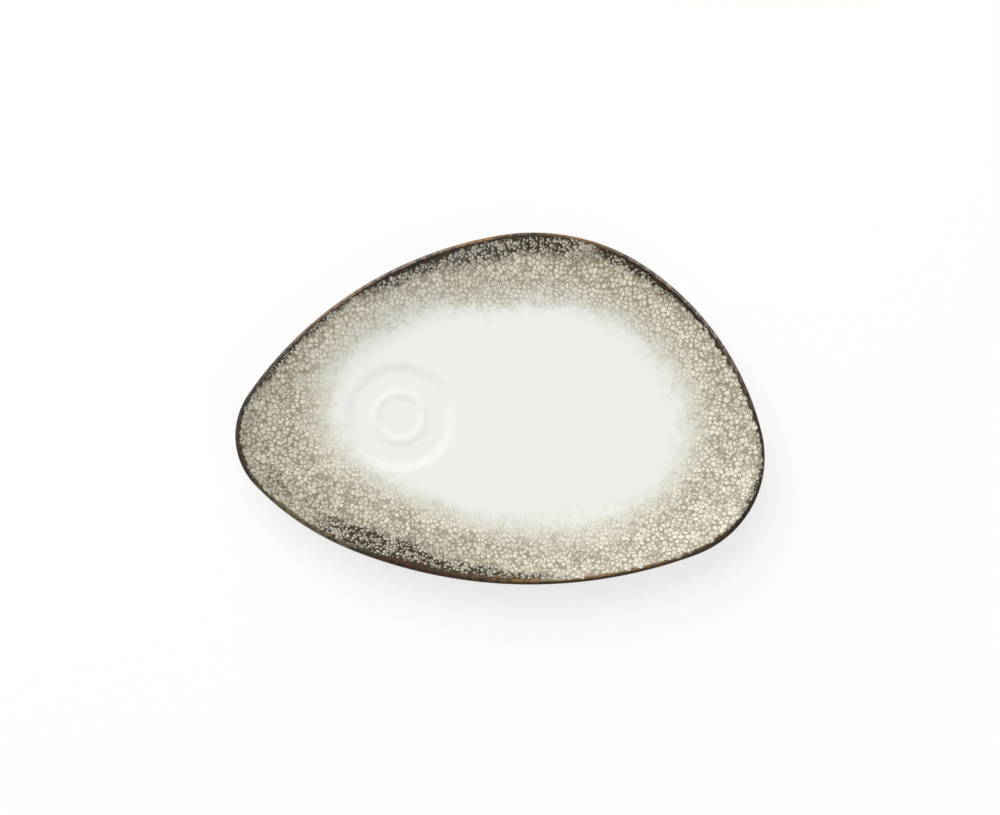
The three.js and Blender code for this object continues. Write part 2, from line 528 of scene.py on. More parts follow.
def inside(spot: np.ndarray, loop: np.ndarray) -> bool:
    """Tells whether a point lies inside a closed loop seen from above.

    Args:
        spot: The point.
        loop: The loop's points.

    Returns:
        True for a point inside.
    """
    one, two = loop[:, :2], np.roll(loop[:, :2], -1, axis=0)
    spans = (one[:, 1] > spot[1]) != (two[:, 1] > spot[1])
    rise = np.where(spans, two[:, 1] - one[:, 1], 1.0)
    cross = one[:, 0] + (spot[1] - one[:, 1]) * (two[:, 0] - one[:, 0]) / rise
    return bool(np.count_nonzero(spans & (spot[0] < cross)) % 2)


def upright(face: list[int], spots: list[Vector]) -> list[int]:
    """Turns a triangle to face up.

    Args:
        face: The triangle's corners.
        spots: The points that the corners name.

    Returns:
        The corners, anticlockwise as seen from above.
    """
    one, two, three = (spots[i] for i in face[:3])
    turn = (two.x - one.x) * (three.y - one.y) - (two.y - one.y) * (three.x - one.x)
    return list(face) if turn > 0 else list(face)[::-1]


def shade(mesh: bpy.types.Mesh, shape: bmesh.types.BMesh) -> None:
    """Writes a worked shape back to its mesh, smooth but for its sharp and open edges.

    Args:
        mesh: The mesh that gets the shape.
        shape: The worked shape, which is freed.
    """
    for edge in shape.edges:
        edge.smooth = len(edge.link_faces) == 2 and edge.calc_face_angle() < CREASE
    shape.to_mesh(mesh)
    shape.free()
    mesh.polygons.foreach_set("use_smooth", np.ones(len(mesh.polygons), dtype=bool))


def coordinates(piece: bpy.types.Object) -> np.ndarray:
    """Reads a mesh piece's points.

    Args:
        piece: The piece.

    Returns:
        One row for each point.
    """
    flat = np.empty(3 * len(piece.data.vertices))
    piece.data.vertices.foreach_get("co", flat)
    return flat.reshape(-1, 3)


def top_map(piece: bpy.types.Object) -> None:
    """Lays a piece's top flat for baking, and its hidden inner face in a strip below it.

    Args:
        piece: A coat on the top of the plate.
    """
    margin, least_rise = 0.01, 0.3
    top_strip, hidden_strip = (0.06, 0.93), (0.01, 0.035)
    mesh = piece.data
    points = coordinates(piece)[:, :2]
    low = points.min(axis=0)
    share = (points - low) / (points.max(axis=0) - low)
    layer = mesh.uv_layers.new(name="OFBake")
    for face in mesh.polygons:
        base, tall = top_strip if face.normal.z > least_rise else hidden_strip
        for corner in face.loop_indices:
            across, along = share[mesh.loops[corner].vertex_index]
            layer.data[corner].uv = (margin + (1 - 2 * margin) * across, base + tall * along)


class MeshDraft:
    """Points and faces of a piece while it is put together.

    Points nearer than the weld become one, and a flat's inner points keep a share of their
    spacing clear of its edges.
    """

    weld: ClassVar[float] = 0.001 * MM
    tolerance: ClassVar[float] = 1e-9
    clearance: ClassVar[float] = 0.6

    def __init__(self) -> None:
        """Starts an empty draft."""
        self.points: list[np.ndarray] = []
        self.faces: list[tuple[int, ...]] = []
        self.count = 0

    def skin(self, rings: list[np.ndarray], turned: bool = False) -> "MeshDraft":
        """Adds a skin through closed rings, which faces up where the rings grow.

        Args:
            rings: The rings in order.
            turned: Whether the skin faces the other way.

        Returns:
            The draft itself.
        """
        width = len(rings[0])
        for row in range(len(rings) - 1):
            inner = self.count + row * width
            outer = inner + width
            for column in range(width):
                after = (column + 1) % width
                face = (inner + column, outer + column, outer + after, inner + after)
                self.faces.append(face[::-1] if turned else face)
        self.points.extend(rings)
        self.count += width * len(rings)
        return self

    def flat(
        self, edge: np.ndarray, spacing: float, hole: np.ndarray | None = None, turned: bool = False
    ) -> "MeshDraft":
        """Adds a level surface inside a ring, filled with evenly spaced points.

        Args:
            edge: The outer ring.
            spacing: The distance between the inner points.
            hole: A ring that stays open.
            turned: Whether the surface faces down.

        Returns:
            The draft itself.
        """
        loops = [edge] if hole is None else [edge, hole]
        places = [Vector(p[:2]) for loop in loops for p in loop]
        lines, start = [], 0
        for loop in loops:
            lines += [(start + i, start + (i + 1) % len(loop)) for i in range(len(loop))]
            start += len(loop)
        low, high = edge[:, :2].min(axis=0), edge[:, :2].max(axis=0)
        for across in np.arange(low[0] + spacing, high[0], spacing):
            for along in np.arange(low[1] + spacing, high[1], spacing):
                spot = np.array([across, along])
                gaps = [np.hypot(*(loop[:, :2] - spot).T).min() for loop in loops]
                if min(gaps) > self.clearance * spacing:
                    places.append(Vector(spot))
        spots, _, faces, *_ = delaunay_2d_cdt(places, lines, [], 0, self.tolerance)
        for face in faces:
            middle = sum((np.array(spots[i]) for i in face), np.zeros(2)) / len(face)
            if inside(middle, edge) and (hole is None or not inside(middle, hole)):
                corners = tuple(self.count + i for i in upright(face, spots))
                self.faces.append(corners[::-1] if turned else corners)
        self.points.append(np.array([[s[0], s[1], edge[0, 2]] for s in spots]))
        self.count += len(spots)
        return self

    def piece(self, name: str) -> bpy.types.Object:
        """Makes the piece's object.

        Args:
            name: The object's name.

        Returns:
            A closed, smooth-shaded mesh object at the origin.
        """
        mesh = bpy.data.meshes.new(name)
        mesh.from_pydata(np.concatenate(self.points).tolist(), [], self.faces)
        shape = bmesh.new()
        shape.from_mesh(mesh)
        bmesh.ops.remove_doubles(shape, verts=shape.verts, dist=self.weld)
        loose = [vert for vert in shape.verts if not vert.link_faces]
        bmesh.ops.delete(shape, geom=loose, context="VERTS")
        open_edges = sum(len(edge.link_faces) != 2 for edge in shape.edges)
        shade(mesh, shape)
        LOG.info("%s: %d faces, %d open edges", name, len(mesh.polygons), open_edges)
        return add_object(name, mesh)


# How the glaze was sprayed and how it melted


class LipTone(Enum):
    """The colours that the thin glaze breaks to along the lip, and the lip's grey painted highlight."""

    AMBER = "amber"
    RUST = "rust"
    PAINTED_HIGHLIGHT = "painted_highlight"
    OLIVE = "olive"
    HONEY = "honey"


@dataclass(frozen=True)
class Stretch:
    """A stretch of the plate's edge, by its angle from +X and its spread, both in degrees."""

    angle: float
    spread: float

    def share(self, degrees: np.ndarray) -> np.ndarray:
        """Falls from 1 at the stretch's angle to 0 beyond its spread on both sides."""
        around = (degrees - self.angle + 180) % 360 - 180
        return np.exp(-(np.abs(around / self.spread) ** 3))


@dataclass(frozen=True)
class Pool(Stretch):
    """Where the glaze ran thick and dark.

    The pool lies between two distances from the lip in millimetres, and fades over another.
    """

    far: float
    fade: float
    strength: float
    near: float = -10.0


@dataclass(frozen=True)
class Veil(Stretch):
    """Where the sprayed coat is paler or darker, at a distance from the lip in millimetres."""

    inset: float
    depth: float
    change: float


@dataclass(frozen=True)
class Seam(Stretch):
    """Where the ground stays distinct between the islands up to the white floor."""

    strength: float


@dataclass(frozen=True)
class Break(Stretch):
    """Where the lip's glaze thinned to one of its other colours, and where the lip gets its grey painted
    highlight.
    """

    tone: LipTone
    strength: float


@dataclass(frozen=True)
class Drift(Stretch):
    """Where the spray fell short of the white floor's edge or carried over it, in millimetres.

    The angle is seen from the white floor's middle. The fade is shorter by a share where the
    spray ended crisply.
    """

    reach: float
    crisp: float = 0.0


@dataclass(frozen=True)
class LipLine(Stretch):
    """Where the dark line of the lip reaches further onto the rim, in millimetres."""

    reach: float


@dataclass
class Spray:
    """Where the coloured glaze lies on the plate."""

    shape: PlateShape
    white_middle: tuple[float, float] = (8.3 * MM, 1.7 * MM)
    white_size: tuple[float, float] = (232 * MM, 156 * MM)
    white_rounding: float = 41 * MM
    fade: float = 60 * MM
    bare_line: float = -1.6
    pools: tuple[Pool, ...] = (
        Pool(84, 28, 6, 7, 0.85),
        Pool(46, 15, 2.5, 4, 1.0),
        Pool(122, 16, 4, 5, 1.0),
        Pool(158, 18, 1, 2.5, 0.7),
        Pool(194, 21, 12, 14, 0.25),
        Pool(230, 15, 11, 6, 1.0),
        Pool(230, 28, 18, 14, 0.25),
        Pool(255, 15, 6, 4, 1.0),
        Pool(273, 14, 2.5, 3, 1.0),
        Pool(-17, 10, 0.5, 2.5, 0.7),
        Pool(198, 4, 15, 4, 0.3, 12),
        Pool(183, 22, 3, 5, 0.22),
    )
    veils: tuple[Veil, ...] = (
        Veil(24, 22, 14, 16, 0.06),
        Veil(130, 16, 18, 10, -0.12),
        Veil(90, 30, 18, 8, 0.04),
        Veil(262, 40, 22, 14, -0.1),
        Veil(208, 20, 36, 8, -0.16),
        Veil(325, 20, 16, 14, 0.1),
    )
    drifts: tuple[Drift, ...] = (
        Drift(-64, 24, 4),
        Drift(-141, 28, -6),
        Drift(94, 24, -2),
        Drift(146, 28, 12),
        Drift(178, 24, 6.5),
        Drift(20, 16, 3),
        Drift(58, 22, 0, 0.2),
        Drift(-115, 30, 1, 0.4),
        Drift(-28, 20, 2.5, 0.25),
    )
    seams: tuple[Seam, ...] = (Seam(90, 65, 1.0),)
    lines: tuple[LipLine, ...] = (
        LipLine(4, 14, 0.6),
        LipLine(19, 12, 1.6),
        LipLine(36, 26, 2.1),
        LipLine(86, 20, 1.0),
        LipLine(119, 25, 2.6),
        LipLine(158, 18, 0.8),
        LipLine(185, 18, 0.5),
        LipLine(213, 13, 0.3),
        LipLine(243, 18, 2.0),
        LipLine(269, 14, 1.8),
        LipLine(304, 16, -0.2),
        LipLine(330, 11, 0.7),
    )
    breaks: tuple[Break, ...] = (
        Break(97, 13, LipTone.AMBER, 1.0),
        Break(66, 9, LipTone.AMBER, 0.8),
        Break(146, 14, LipTone.AMBER, 0.6),
        Break(291, 26, LipTone.HONEY, 0.9),
        Break(246, 17, LipTone.RUST, 1.0),
        Break(316, 10, LipTone.RUST, 0.8),
        Break(213, 14, LipTone.OLIVE, 0.7),
        # The two grey stretches below are a painted highlight along the lip's top.
        Break(30, 24, LipTone.PAINTED_HIGHLIGHT, 1.0),
        Break(128, 40, LipTone.PAINTED_HIGHLIGHT, 0.8),
    )

    def white_edge(self) -> np.ndarray:
        """Gives the line at which the sprayed glaze starts to show."""
        plan = replace(self.shape.plan(self.white_size, self.white_rounding), middle=self.white_middle)
        return self.shape.ring(Station(plan, 0.0, 0.0, UP))

    def reach(self, angle: np.ndarray, edge: np.ndarray) -> np.ndarray:
        """Measures how far a closed edge lies from the white floor's middle.

        Args:
            angle: The angles to look along.
            edge: The edge's points.

        Returns:
            The distances, seen from above.
        """
        arm = edge[:, :2] - np.array(self.white_middle)
        around = np.arctan2(arm[:, 1], arm[:, 0])
        order = np.argsort(around)
        far = np.hypot(arm[:, 0], arm[:, 1])
        return np.interp(angle, around[order], far[order], period=2 * math.pi)

    def paint(self, piece: bpy.types.Object) -> None:
        """Stores on a piece how much glaze was sprayed on it and where it ran dark.

        Args:
            piece: A coat on the plate's top or lip.
        """
        points = coordinates(piece)[:, :2]
        count = len(points)
        degrees = np.degrees(np.arctan2(points[:, 1], points[:, 0]))
        arm = points - np.array(self.white_middle)
        around = np.arctan2(arm[:, 1], arm[:, 0])
        far = np.hypot(arm[:, 0], arm[:, 1])
        lip_gap = (self.reach(around, self.shape.ring(self.shape.lip(0))) - far) / MM
        start, fade = self.reach(around, self.white_edge()), np.full(count, self.fade)
        for drift in self.drifts:
            side = drift.share(np.degrees(around))
            start += drift.reach * MM * side
            fade *= 1 - drift.crisp * side
        line = np.full(count, self.bare_line)
        for stretch in self.lines:
            rise = (stretch.reach - self.bare_line) * stretch.share(degrees)
            line = np.maximum(line, self.bare_line + rise)
        clear, tone, seam = np.ones(count), np.ones(count), np.zeros(count)
        for pool in self.pools:
            off = np.maximum(np.maximum(lip_gap - pool.far, pool.near - lip_gap), 0) / pool.fade
            clear *= 1 - pool.strength * pool.share(degrees) * np.exp(-(off**2))
        for veil in self.veils:
            off = (lip_gap - veil.inset) / veil.depth
            tone += veil.change * veil.share(degrees) * np.exp(-(off**2))
        for stretch in self.seams:
            seam += stretch.strength * stretch.share(degrees)
        marks = {"spray": (far - start) / fade, "lip_gap": lip_gap, "line": line}
        marks |= {"pool": 1 - clear, "tone": tone, "seam": seam}
        for kind in LipTone:
            plain = np.ones(count)
            for stretch in self.breaks:
                if stretch.tone is kind:
                    plain *= 1 - stretch.strength * stretch.share(degrees)
            marks[kind.value] = 1 - plain
        for name, values in marks.items():
            layer = piece.data.attributes.new(name, "FLOAT", "POINT")
            layer.data.foreach_set("value", np.ascontiguousarray(values, dtype=np.float32))


# Finishes


@dataclass(frozen=True)
class Grain:
    """A noise, by its size in millimetres, its finer detail and how rough that makes it."""

    size_mm: float
    detail: float
    roughness: float = 0.5

    def inputs(self, place: Source) -> dict[str, object]:
        """Gives the noise's inputs at a place."""
        scale = 1 / (self.size_mm * MM)
        return {"Vector": place, "Scale": scale, "Detail": self.detail, "Roughness": self.roughness}


class Looks(NamedTuple):
    """What a finish hands to its shader."""

    colour: Source
    roughness: Source
    height: Source


class Finish:
    """A ceramic surface, named for the real material."""

    title: ClassVar[str]
    ior: ClassVar[float] = 1.5
    shine: ClassVar[float] = 0.5
    relief: ClassVar[float] = 0.05 * MM
    relief_strength: ClassVar[float] = 0.4

    def looks(self, tree: bpy.types.NodeTree, place: Source) -> Looks:
        """Builds the nodes for the finish's colour, gloss and relief."""
        raise NotImplementedError

    def material(self) -> bpy.types.Material:
        """Builds the finish's material.

        Returns:
            A material with one shader, drawn in the piece's own coordinates.
        """
        made = bpy.data.materials.new(self.title)
        made.use_nodes = True
        tree = made.node_tree
        tree.nodes.clear()
        looks = self.looks(tree, add_node(tree, "ShaderNodeTexCoord").outputs["Object"])
        raised = {"Strength": self.relief_strength, "Distance": self.relief, "Height": looks.height}
        surface = {
            "Base Color": looks.colour,
            "Roughness": looks.roughness,
            "IOR": self.ior,
            "Specular IOR Level": self.shine,
            "Normal": add_node(tree, "ShaderNodeBump", raised),
        }
        shader = add_node(tree, "ShaderNodeBsdfPrincipled", surface)
        add_node(tree, "ShaderNodeOutputMaterial", {"Surface": shader})
        return made


@dataclass(frozen=True)
class Crowd:
    """Islands, by their mean distance, and their mean radius and its spread as shares of that."""

    distance_mm: float
    radius: float
    vary: float


@dataclass(frozen=True)
class Tint:
    """One of the lip's colours or its grey painted highlight, from where it starts to where it is full
    round the lip's section.

    The section runs from the rim's side at 0 to the underside at 1.
    """

    tone: LipTone
    code: str
    start: float
    full: float


@dataclass(frozen=True)
class ReactiveGlaze(Finish):
    """Reactive glaze sprayed over glossy white porcelain glaze.

    The eye sees cream islands three millimetres wide, crowded on a taupe ground. The ground
    runs dark in pools near the lip, where the islands are small and sparse. The spray thins
    out to a clean glossy white, and on the lip it breaks to a brown-black line with amber,
    rust, olive and honey stretches. Along two stretches the lip's top carries a grey painted
    highlight.
    """

    title: ClassVar[str] = "reactive_glaze_over_white"
    shine: ClassVar[float] = 0.3
    white: str = "#f2f1ed"
    mist: str = "#dfded0"
    island: str = "#e7e1ce"
    ground: str = "#9c917a"
    pool_island: str = "#cfcab6"
    pool_ground: str = "#3b3321"
    line_black: str = "#160f09"
    line_brown: str = "#3f2a10"
    tints: tuple[Tint, ...] = (
        # The grey tint is a painted highlight on the lip's top and outer side.
        Tint(LipTone.PAINTED_HIGHLIGHT, "#a4958a", 0.04, 0.2),
        Tint(LipTone.AMBER, "#a1743a", 0.06, 0.26),
        Tint(LipTone.RUST, "#44290f", -0.3, -0.1),
        Tint(LipTone.OLIVE, "#7b7050", -0.3, -0.1),
        Tint(LipTone.HONEY, "#9a7440", 0.36, 0.2),
    )
    large: Crowd = Crowd(3.1, 0.56, 0.3)
    small: Crowd = Crowd(2.2, 0.41, 0.46)
    cloud: Grain = Grain(16.0, 4.0)
    droplets: Grain = Grain(1.6, 1.0)
    streak: Grain = Grain(3.0, 3.0)
    swell: Grain = Grain(6.5, 1.0)
    wander: Grain = Grain(2.4, 4.0, 0.6)
    stray_mm: float = 4.0

    # How far the islands grow and the seams between them close on a swell, and how soft both are.
    island_swell: float = 0.4
    island_edge: float = 0.16
    island_melt: float = 0.25
    seam_swell: float = 0.3
    seam_edge: tuple[float, float] = (0.16, 0.37)
    # How much an island's own chance, the cloud and the droplets shift the spray's end, and
    # from where to where the spray then covers the white and clouds it.
    thinning: tuple[float, float, float] = (0.12, 0.3, 0.14)
    cover: tuple[float, float] = (0.16, 0.7)
    haze: tuple[float, float] = (0.02, 0.4)
    # How a distinct seam bends the cover of the ground and of the islands.
    ground_bend: float = -0.6
    island_bend: float = 0.9
    pool_ragged: float = 0.7
    pool_edge: tuple[float, float] = (0.42, 1.1)
    # Where the swell is low, small islands take the large ones' place up to a share.
    small_edge: tuple[float, float] = (0.46, 0.34)
    most_small: float = 0.8
    least_light: float = 0.82
    light_spread: float = 0.26
    line_ragged_mm: float = 7.0
    line_edge: tuple[float, float] = (-0.9, 0.7)
    brown_edge: tuple[float, float] = (0.4, 0.62)
    tint_edge: tuple[float, float] = (0.4, 0.6)
    least_tint: float = 0.3
    roughness: float = 0.16
    island_dulling: float = 0.1
    line_dulling: float = 0.45

    def islands(
        self, tree: bpy.types.NodeTree, place: Source, swell: Source, crowd: Crowd
    ) -> tuple[Source, Source]:
        """Draws a crowd of islands.

        Args:
            tree: The material's tree.
            place: Where on the piece.
            swell: A value about 0.5 that is high where the islands run together.
            crowd: The islands' sizes.

        Returns:
            The islands' mask and a chance value for each island.
        """
        spread = {"Vector": place, "Scale": 1 / (crowd.distance_mm * MM)}
        melted = spread | {"Smoothness": self.island_melt}
        cells = add_node(tree, CELLS, melted, voronoi_dimensions="2D", feature="SMOOTH_F1").outputs
        border = add_node(tree, CELLS, spread, voronoi_dimensions="2D", feature="DISTANCE_TO_EDGE")
        chance = add_node(tree, "ShaderNodeSeparateColor", [cells["Color"]]).outputs
        gap = cells["Distance"]
        for value, growth in ((chance["Red"], crowd.vary), (swell, self.island_swell)):
            gap = add_node(tree, MATH, [value, -growth, gap], operation="MULTIPLY_ADD")
        rim = crowd.radius - crowd.vary / 2 - self.island_swell / 2
        blob = add_node(tree, RAMP, [gap, rim + self.island_edge, rim - self.island_edge], **SMOOTHLY)
        closed = add_node(tree, MATH, [swell, self.seam_swell, border], operation="MULTIPLY_ADD")
        seam = add_node(tree, RAMP, [closed, *self.seam_edge], **SMOOTHLY)
        return add_node(tree, MATH, [blob, seam], operation="MULTIPLY"), chance["Green"]

    def lip_line(
        self, tree: bpy.types.NodeTree, marks: dict[str, Source], streak: Source
    ) -> tuple[Source, Source]:
        """Draws the dark line along the lip.

        Args:
            tree: The material's tree.
            marks: The piece's attributes by name.
            streak: A value that wanders along the lip.

        Returns:
            The line's mask and colour.
        """
        wide = self.line_ragged_mm
        ragged = add_node(tree, MATH, [streak, wide, -wide / 2], operation="MULTIPLY_ADD")
        near = add_node(tree, MATH, [marks["line"], marks["lip_gap"]], operation="SUBTRACT")
        inset = add_node(tree, MATH, [near, ragged], operation="ADD")
        mask = add_node(tree, RAMP, [inset, *self.line_edge], **SMOOTHLY)
        brown = add_node(tree, RAMP, [streak, *self.brown_edge], **SMOOTHLY)
        mixed = {"Factor": brown, "A": linear(self.line_black), "B": linear(self.line_brown)}
        colour = add_node(tree, MIX, mixed, data_type="RGBA")
        patch = add_node(tree, RAMP, [streak, *self.tint_edge, self.least_tint], **SMOOTHLY)
        # The tints lay the glaze's breaks and the grey painted highlight over the line.
        for tint in self.tints:
            share = add_node(tree, RAMP, [marks["turn"], tint.start, tint.full], **SMOOTHLY)
            for limit in (marks[tint.tone.value], patch):
                share = add_node(tree, MATH, [share, limit], operation="MULTIPLY")
            mixed = {"Factor": share, "A": colour, "B": linear(tint.code)}
            colour = add_node(tree, MIX, mixed, data_type="RGBA")
        return mask, colour

    def looks(self, tree: bpy.types.NodeTree, place: Source) -> Looks:
        """Builds the glaze from the marks that the spray left on the piece.

        Args:
            tree: The material's tree.
            place: Where on the piece.

        Returns:
            The glaze's colour, gloss and relief.
        """
        names = ["spray", "pool", "tone", "seam", "line", "lip_gap", "turn"]
        marks = {
            name: add_node(tree, "ShaderNodeAttribute", attribute_name=name).outputs["Fac"]
            for name in names + [tone.value for tone in LipTone]
        }
        cloud, droplets, streak, swell, wander = (
            add_node(tree, NOISE, grain.inputs(place))
            for grain in (self.cloud, self.droplets, self.streak, self.swell, self.wander)
        )

        # The islands' outlines wander to all sides, so that no two are alike.
        centred = [wander.outputs["Color"], (0.5, 0.5, 0.5)]
        shift = add_node(tree, "ShaderNodeVectorMath", centred, operation="SUBTRACT")
        stray = (self.stray_mm * MM, self.stray_mm * MM, 0.0)
        bent = add_node(tree, "ShaderNodeVectorMath", [shift, stray, place], operation="MULTIPLY_ADD")
        large, chance = self.islands(tree, bent, swell, self.large)
        small, _ = self.islands(tree, bent, swell, self.small)

        # The spray thins out droplet by droplet towards the white floor.
        drift = marks["spray"]
        for grain, share in zip((chance, cloud, droplets), self.thinning):
            drift = add_node(tree, MATH, [grain, share, drift], operation="MULTIPLY_ADD")
        cover = add_node(tree, RAMP, [drift, *self.cover], **SMOOTHLY)
        haze = add_node(tree, RAMP, [drift, *self.haze], **SMOOTHLY)

        # The pools have ragged edges, and small islands crowd in between the large ones.
        ragged = add_node(tree, MATH, [cloud, self.pool_ragged, marks["pool"]], operation="MULTIPLY_ADD")
        dark = add_node(tree, RAMP, [ragged, *self.pool_edge], **SMOOTHLY)
        sparse = add_node(tree, RAMP, [swell, *self.small_edge, 0.0, self.most_small], **SMOOTHLY)
        fine = add_node(tree, MATH, [dark, sparse], operation="MAXIMUM")
        mask = add_node(tree, MIX, {"Factor": fine, "A": large, "B": small}, data_type="FLOAT")

        # Ground and islands are darker in the pools, and each island is as light as chance has it.
        ground, pale = (
            add_node(tree, MIX, {"Factor": dark, "A": linear(thin), "B": linear(thick)}, data_type="RGBA")
            for thin, thick in ((self.ground, self.pool_ground), (self.island, self.pool_island))
        )
        spread = [chance, self.light_spread, self.least_light]
        light = add_node(tree, MATH, spread, operation="MULTIPLY_ADD")
        toned = add_node(tree, "ShaderNodeHueSaturation", {"Color": pale, "Value": light})
        bare = {"Factor": haze, "A": linear(self.white), "B": linear(self.mist)}
        misted = add_node(tree, MIX, bare, data_type="RGBA")

        # Where the seams stay distinct, the ground shows in a thinner coat than the islands do.
        layers = []
        for layer, bend in ((ground, self.ground_bend), (toned, self.island_bend)):
            veiled = add_node(tree, "ShaderNodeHueSaturation", {"Color": layer, "Value": marks["tone"]})
            power = add_node(tree, MATH, [marks["seam"], bend, 1.0], operation="MULTIPLY_ADD")
            share = add_node(tree, MATH, [cover, power], operation="POWER")
            mixed = {"Factor": share, "A": misted, "B": veiled}
            layers.append(add_node(tree, MIX, mixed, data_type="RGBA"))
        line, line_colour = self.lip_line(tree, marks, streak)
        colour = layers[0]
        for share, layer in ((mask, layers[1]), (line, line_colour)):
            mixed = {"Factor": share, "A": colour, "B": layer}
            colour = add_node(tree, MIX, mixed, data_type="RGBA")

        # The islands stand a little proud and are less glossy than the ground, and so is the lip.
        relief = add_node(tree, MATH, [mask, cover], operation="MULTIPLY")
        streaked = add_node(tree, MATH, [line, streak], operation="MULTIPLY")
        dull = self.roughness
        for layer, share in ((relief, self.island_dulling), (streaked, self.line_dulling)):
            dull = add_node(tree, MATH, [layer, share, dull], operation="MULTIPLY_ADD")
        return Looks(colour, dull, relief)


@dataclass(frozen=True)
class PlainGlaze(Finish):
    """Clear glaze over white porcelain, on the side that isn't seen at table.

    The eye sees a glossy warm white with a faint orange-peel surface and a few iron specks.
    """

    title: ClassVar[str] = "clear_glaze_on_porcelain"
    white: str = "#eae8e1"
    shade: str = "#dedbd1"
    speck: str = "#8d7a5f"
    cloud: Grain = Grain(30.0, 2.0)
    peel: Grain = Grain(5.0, 2.0)
    speck_mm: float = 14.0
    speck_edge: tuple[float, float] = (0.05, 0.02)
    most_speck: float = 0.8
    roughness: float = 0.12
    cloud_dulling: float = 0.1

    def looks(self, tree: bpy.types.NodeTree, place: Source) -> Looks:
        """Builds the clear glaze.

        Args:
            tree: The material's tree.
            place: Where on the piece.

        Returns:
            The glaze's colour, gloss and relief.
        """
        cloud, peel = (add_node(tree, NOISE, grain.inputs(place)) for grain in (self.cloud, self.peel))
        mixed = {"Factor": cloud, "A": linear(self.white), "B": linear(self.shade)}
        base = add_node(tree, MIX, mixed, data_type="RGBA")
        spread = {"Vector": place, "Scale": 1 / (self.speck_mm * MM)}
        cells = add_node(tree, CELLS, spread, feature="F1")
        specks = add_node(tree, RAMP, [cells, *self.speck_edge, 0.0, self.most_speck], **SMOOTHLY)
        mixed = {"Factor": specks, "A": base, "B": linear(self.speck)}
        colour = add_node(tree, MIX, mixed, data_type="RGBA")
        dulled = [cloud, self.cloud_dulling, self.roughness]
        return Looks(colour, add_node(tree, MATH, dulled, operation="MULTIPLY_ADD"), peel)


@dataclass(frozen=True)
class BarePorcelain(Finish):
    """Fired porcelain with no glaze, ground smooth where the plate stands.

    The eye sees a matt cream white, fine-grained, with grey rub marks from tables. Real grain
    is finer, and is drawn as coarse as it needs to show.
    """

    title: ClassVar[str] = "bare_fired_porcelain"
    cream: str = "#e6e0d2"
    rub: str = "#b9b3a6"
    grain: Grain = Grain(0.6, 4.0)
    rubs: Grain = Grain(9.0, 4.0)
    rub_edge: tuple[float, float] = (0.5, 0.75)
    most_rub: float = 0.8
    roughness: float = 0.65
    grain_dulling: float = 0.2

    def looks(self, tree: bpy.types.NodeTree, place: Source) -> Looks:
        """Builds the bare body.

        Args:
            tree: The material's tree.
            place: Where on the piece.

        Returns:
            The body's colour, gloss and relief.
        """
        grain, rubs = (add_node(tree, NOISE, noise.inputs(place)) for noise in (self.grain, self.rubs))
        worn = add_node(tree, RAMP, [rubs, *self.rub_edge, 0.0, self.most_rub], **SMOOTHLY)
        mixed = {"Factor": worn, "A": linear(self.cream), "B": linear(self.rub)}
        colour = add_node(tree, MIX, mixed, data_type="RGBA")
        dulled = [grain, self.grain_dulling, self.roughness]
        return Looks(colour, add_node(tree, MATH, dulled, operation="MULTIPLY_ADD"), grain)


# Pieces


def settle(piece: bpy.types.Object, node: str, finish: bpy.types.Material) -> None:
    """Gives a piece its material and its place in the CAD part.

    Args:
        piece: The finished piece.
        node: The CAD node that it stands for.
        finish: Its material.
    """
    piece.data.materials.clear()
    piece.data.materials.append(finish)
    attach(piece, "root")
    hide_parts(node)
    LOG.info("%s stands for %s", piece.name, node)


@dataclass
class Body:
    """The fired body, of which only the bare foot ring shows."""

    shape: PlateShape
    well: CupWell
    seat_spacing: float = 4 * MM
    floor_spacing: float = 12 * MM
    rim_stride: int = 4

    def build(self) -> bpy.types.Object:
        """Builds the closed body.

        Returns:
            The body's object.
        """
        shape, wide = self.shape, self.floor_spacing
        well = self.well.rings(shape.floor_top)
        rim = shape.rings(shape.rim_stations()[:: self.rim_stride])
        base = shape.rings(shape.base_stations())
        draft = MeshDraft().flat(well[0], self.seat_spacing).skin(well)
        draft.flat(rim[0], wide, hole=well[-1]).skin(rim)
        for stations in (shape.lip_stations(), shape.under_stations(), shape.ground_stations()):
            draft.skin(shape.rings(stations))
        draft.skin(base).flat(base[-1], wide, turned=True)
        return draft.piece("fired_body")

    def dress(self, piece: bpy.types.Object, finish: BarePorcelain) -> None:
        """Dresses the body."""
        settle(piece, "porcelain_body", finish.material())


